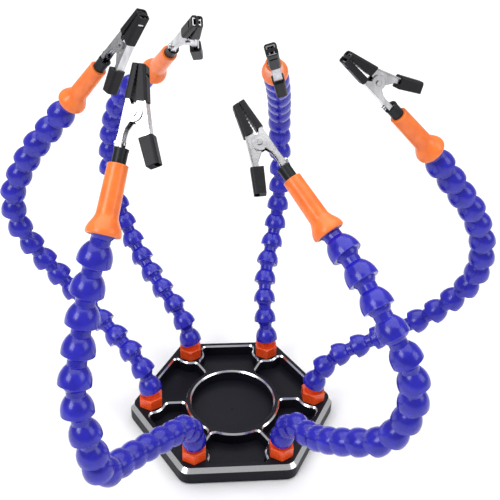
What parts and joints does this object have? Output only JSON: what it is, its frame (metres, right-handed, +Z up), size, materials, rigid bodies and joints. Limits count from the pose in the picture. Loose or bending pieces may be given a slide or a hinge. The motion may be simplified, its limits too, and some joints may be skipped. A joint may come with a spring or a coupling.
{
  "type": "helping hands clamp",
  "caption": "Soldering helper: a hexagonal tray base with ball-jointed flexible arms, each ending in a nozzle with a swivelling, rubber-booted sprung clip.",
  "frame": {"origin": "centre of the hexagonal base's underside, on the bench", "axes": "+Z up from the bench, +X towards the corner that holds the right-hand arm, -Y towards the front flat"},
  "size_m": [0.3249, 0.2872, 0.309],
  "materials": {
    "anodised_black": "black anodised with bright cut chamfers",
    "pad_foam": "matt foam rubber",
    "fitting_orange": "moulded acetal",
    "hose_blue": "moulded acetal, slightly translucent",
    "nozzle_orange": "moulded acetal",
    "plug_black": "satin rubber",
    "clip_steel": "nickel-plated pressed sheet",
    "boot_rubber": "matt soft rubber",
    "fastener_steel": "nickel-plated"
  },
  "bodies": {
    "base": {"base_plate": "anodised_black", "base_pad": "pad_foam", "hose_fittings": "fitting_orange"},
    "left_lower_arm": {"left_hose_lower": "hose_blue"},
    "left_upper_arm": {"left_hose_upper": "hose_blue"},
    "left_nozzle_end": {"left_nozzle": "nozzle_orange"},
    "left_clip": {"left_plug": "plug_black", "left_clip_frame": "clip_steel", "left_frame_boot": "boot_rubber", "left_clip_fasteners": "fastener_steel"},
    "left_lever": {"left_clip_lever": "clip_steel", "left_lever_boots": "boot_rubber"},
    "back_left_lower_arm": {"back_left_hose_lower": "hose_blue"},
    "back_left_upper_arm": {"back_left_hose_upper": "hose_blue"},
    "back_left_nozzle_end": {"back_left_nozzle": "nozzle_orange"},
    "back_left_clip": {"back_left_plug": "plug_black", "back_left_clip_frame": "clip_steel", "back_left_frame_boot": "boot_rubber", "back_left_clip_fasteners": "fastener_steel"},
    "back_left_lever": {"back_left_clip_lever": "clip_steel", "back_left_lever_boots": "boot_rubber"},
    "back_right_lower_arm": {"back_right_hose_lower": "hose_blue"},
    "back_right_upper_arm": {"back_right_hose_upper": "hose_blue"},
    "back_right_nozzle_end": {"back_right_nozzle": "nozzle_orange"},
    "back_right_clip": {"back_right_plug": "plug_black", "back_right_clip_frame": "clip_steel", "back_right_frame_boot": "boot_rubber", "back_right_clip_fasteners": "fastener_steel"},
    "back_right_lever": {"back_right_clip_lever": "clip_steel", "back_right_lever_boots": "boot_rubber"},
    "right_lower_arm": {"right_hose_lower": "hose_blue"},
    "right_upper_arm": {"right_hose_upper": "hose_blue"},
    "right_nozzle_end": {"right_nozzle": "nozzle_orange"},
    "right_clip": {"right_plug": "plug_black", "right_clip_frame": "clip_steel", "right_frame_boot": "boot_rubber", "right_clip_fasteners": "fastener_steel"},
    "right_lever": {"right_clip_lever": "clip_steel", "right_lever_boots": "boot_rubber"},
    "front_right_lower_arm": {"front_right_hose_lower": "hose_blue"},
    "front_right_upper_arm": {"front_right_hose_upper": "hose_blue"},
    "front_right_nozzle_end": {"front_right_nozzle": "nozzle_orange"},
    "front_right_clip": {"front_right_plug": "plug_black", "front_right_clip_frame": "clip_steel", "front_right_frame_boot": "boot_rubber", "front_right_clip_fasteners": "fastener_steel"},
    "front_right_lever": {"front_right_clip_lever": "clip_steel", "front_right_lever_boots": "boot_rubber"},
    "front_left_lower_arm": {"front_left_hose_lower": "hose_blue"},
    "front_left_upper_arm": {"front_left_hose_upper": "hose_blue"},
    "front_left_nozzle_end": {"front_left_nozzle": "nozzle_orange"},
    "front_left_clip": {"front_left_plug": "plug_black", "front_left_clip_frame": "clip_steel", "front_left_frame_boot": "boot_rubber", "front_left_clip_fasteners": "fastener_steel"},
    "front_left_lever": {"front_left_clip_lever": "clip_steel", "front_left_lever_boots": "boot_rubber"}
  },
  "joints": [
    {"name": "left_shoulder", "type": "hinge", "parent": "base", "child": "left_lower_arm", "pos_m": [-0.0607, 0, 0.0285], "axis": [0, 0, 1], "range_deg": [-30, 30]},
    {"name": "left_elbow", "type": "hinge", "parent": "left_lower_arm", "child": "left_upper_arm", "pos_m": [-0.14063, 0.04552, 0.12566], "axis": [0.2534, 0.9601, 0.1182], "range_deg": [-27, 16]},
    {"name": "left_wrist", "type": "hinge", "parent": "left_upper_arm", "child": "left_nozzle_end", "pos_m": [-0.09985, 0.01995, 0.24602], "axis": [-0.7647, -0.5585, 0.3214], "range_deg": [-18, 18]},
    {"name": "left_clip_swivel", "type": "hinge", "parent": "left_nozzle_end", "child": "left_clip", "pos_m": [-0.08259, 0.00999, 0.26977], "axis": [0.5567, -0.3214, 0.766], "continuous": true},
    {"name": "left_clip_lever_pivot", "type": "hinge", "parent": "left_clip", "child": "left_lever", "pos_m": [-0.06792, -0.00033, 0.28676], "axis": [0.7647, 0.5585, -0.3214], "range_deg": [0, 20], "stiffness_Nm_per_rad": 0.05, "springref_deg": -28.65},
    {"name": "back_left_shoulder", "type": "hinge", "parent": "base", "child": "back_left_lower_arm", "pos_m": [-0.03035, 0.05257, 0.0285], "axis": [0, 0, 1], "range_deg": [-30, 30]},
    {"name": "back_left_elbow", "type": "hinge", "parent": "back_left_lower_arm", "child": "back_left_upper_arm", "pos_m": [-0.08858, 0.11897, 0.13021], "axis": [0.7305, 0.6828, 0.0123], "range_deg": [-34, 9]},
    {"name": "back_left_wrist", "type": "hinge", "parent": "back_left_upper_arm", "child": "back_left_nozzle_end", "pos_m": [-0.05226, 0.06861, 0.2454], "axis": [0.0907, -0.6535, -0.7515], "range_deg": [-38, 5]},
    {"name": "back_left_clip_swivel", "type": "hinge", "parent": "back_left_nozzle_end", "child": "back_left_clip", "pos_m": [-0.04222, 0.04709, 0.26533], "axis": [0.3237, -0.6943, 0.6428], "continuous": true},
    {"name": "back_left_clip_lever_pivot", "type": "hinge", "parent": "back_left_clip", "child": "back_left_lever", "pos_m": [-0.03127, 0.0309, 0.28044], "axis": [-0.0278, 0.6721, 0.7399], "range_deg": [0, 20], "stiffness_Nm_per_rad": 0.05, "springref_deg": -28.65},
    {"name": "back_right_shoulder", "type": "hinge", "parent": "base", "child": "back_right_lower_arm", "pos_m": [0.03035, 0.05257, 0.0285], "axis": [0, 0, 1], "range_deg": [-30, 20]},
    {"name": "back_right_elbow", "type": "hinge", "parent": "back_right_lower_arm", "child": "back_right_upper_arm", "pos_m": [0.04256, 0.12034, 0.14402], "axis": [0.8922, -0.4484, 0.0542], "range_deg": [-31, 12]},
    {"name": "back_right_wrist", "type": "hinge", "parent": "back_right_upper_arm", "child": "back_right_nozzle_end", "pos_m": [0.02392, 0.04601, 0.25375], "axis": [0.9511, 0.0132, 0.3085], "range_deg": [-32, 11]},
    {"name": "back_right_clip_swivel", "type": "hinge", "parent": "back_right_nozzle_end", "child": "back_right_clip", "pos_m": [0.01926, 0.01957, 0.26925], "axis": [-0.1504, -0.8529, 0.5], "continuous": true},
    {"name": "back_right_clip_lever_pivot", "type": "hinge", "parent": "back_right_clip", "child": "back_right_lever", "pos_m": [0.01639, -0.00299, 0.2789], "axis": [0.9551, 0.0052, 0.2962], "range_deg": [0, 20], "stiffness_Nm_per_rad": 0.05, "springref_deg": -28.65},
    {"name": "right_shoulder", "type": "hinge", "parent": "base", "child": "right_lower_arm", "pos_m": [0.0607, 0, 0.0285], "axis": [0, 0, 1], "range_deg": [-30, 30]},
    {"name": "right_elbow", "type": "hinge", "parent": "right_lower_arm", "child": "right_upper_arm", "pos_m": [0.15494, -0.01331, 0.12456], "axis": [0.0242, -0.9682, -0.2489], "range_deg": [-37, 6]},
    {"name": "right_wrist", "type": "hinge", "parent": "right_upper_arm", "child": "right_nozzle_end", "pos_m": [0.10139, -0.04106, 0.24363], "axis": [-0.2244, -0.8986, -0.377], "range_deg": [-28, 15]},
    {"name": "right_clip_swivel", "type": "hinge", "parent": "right_nozzle_end", "child": "right_clip", "pos_m": [0.07981, -0.04487, 0.26555], "axis": [-0.6964, -0.1228, 0.7071], "continuous": true},
    {"name": "right_clip_lever_pivot", "type": "hinge", "parent": "right_clip", "child": "right_lever", "pos_m": [0.06484, -0.04694, 0.2851], "axis": [-0.2919, 0.9485, -0.1228], "range_deg": [0, 20], "stiffness_Nm_per_rad": 0.05, "springref_deg": -28.65},
    {"name": "front_right_shoulder", "type": "hinge", "parent": "base", "child": "front_right_lower_arm", "pos_m": [0.03035, -0.05257, 0.0285], "axis": [0, 0, 1], "range_deg": [-30, 30]},
    {"name": "front_right_elbow", "type": "hinge", "parent": "front_right_lower_arm", "child": "front_right_upper_arm", "pos_m": [0.07505, -0.13992, 0.12209], "axis": [-0.7892, -0.6124, 0.0455], "range_deg": [-37, 6]},
    {"name": "front_right_wrist", "type": "hinge", "parent": "front_right_upper_arm", "child": "front_right_nozzle_end", "pos_m": [0.03519, -0.09938, 0.22872], "axis": [0.85, 0.4003, 0.3424], "range_deg": [-32, 11]},
    {"name": "front_right_clip_swivel", "type": "hinge", "parent": "front_right_nozzle_end", "child": "front_right_clip", "pos_m": [0.01887, -0.07993, 0.2465], "axis": [-0.5265, 0.6275, 0.5736], "continuous": true},
    {"name": "front_right_clip_lever_pivot", "type": "hinge", "parent": "front_right_clip", "child": "front_right_lever", "pos_m": [0.00325, -0.06563, 0.25924], "axis": [-0.0637, -0.7019, 0.7094], "range_deg": [0, 20], "stiffness_Nm_per_rad": 0.05, "springref_deg": -28.65},
    {"name": "front_left_shoulder", "type": "hinge", "parent": "base", "child": "front_left_lower_arm", "pos_m": [-0.03035, -0.05257, 0.0285], "axis": [0, 0, 1], "range_deg": [-30, 30]},
    {"name": "front_left_elbow", "type": "hinge", "parent": "front_left_lower_arm", "child": "front_left_upper_arm", "pos_m": [-0.08279, -0.14538, 0.11081], "axis": [-0.8991, 0.4368, 0.0276], "range_deg": [-44, 1]},
    {"name": "front_left_wrist", "type": "hinge", "parent": "front_left_upper_arm", "child": "front_left_nozzle_end", "pos_m": [-0.07295, -0.11846, 0.24224], "axis": [-0.9202, -0.1322, 0.3684], "range_deg": [-43, 1]},
    {"name": "front_left_clip_swivel", "type": "hinge", "parent": "front_left_nozzle_end", "child": "front_left_clip", "pos_m": [-0.06613, -0.09974, 0.26599], "axis": [0.2198, 0.604, 0.766], "continuous": true},
    {"name": "front_left_clip_lever_pivot", "type": "hinge", "parent": "front_left_clip", "child": "front_left_lever", "pos_m": [-0.05783, -0.08623, 0.28494], "axis": [0.3429, 0.6873, -0.6403], "range_deg": [0, 20], "stiffness_Nm_per_rad": 0.05, "springref_deg": -28.65}
  ]
}
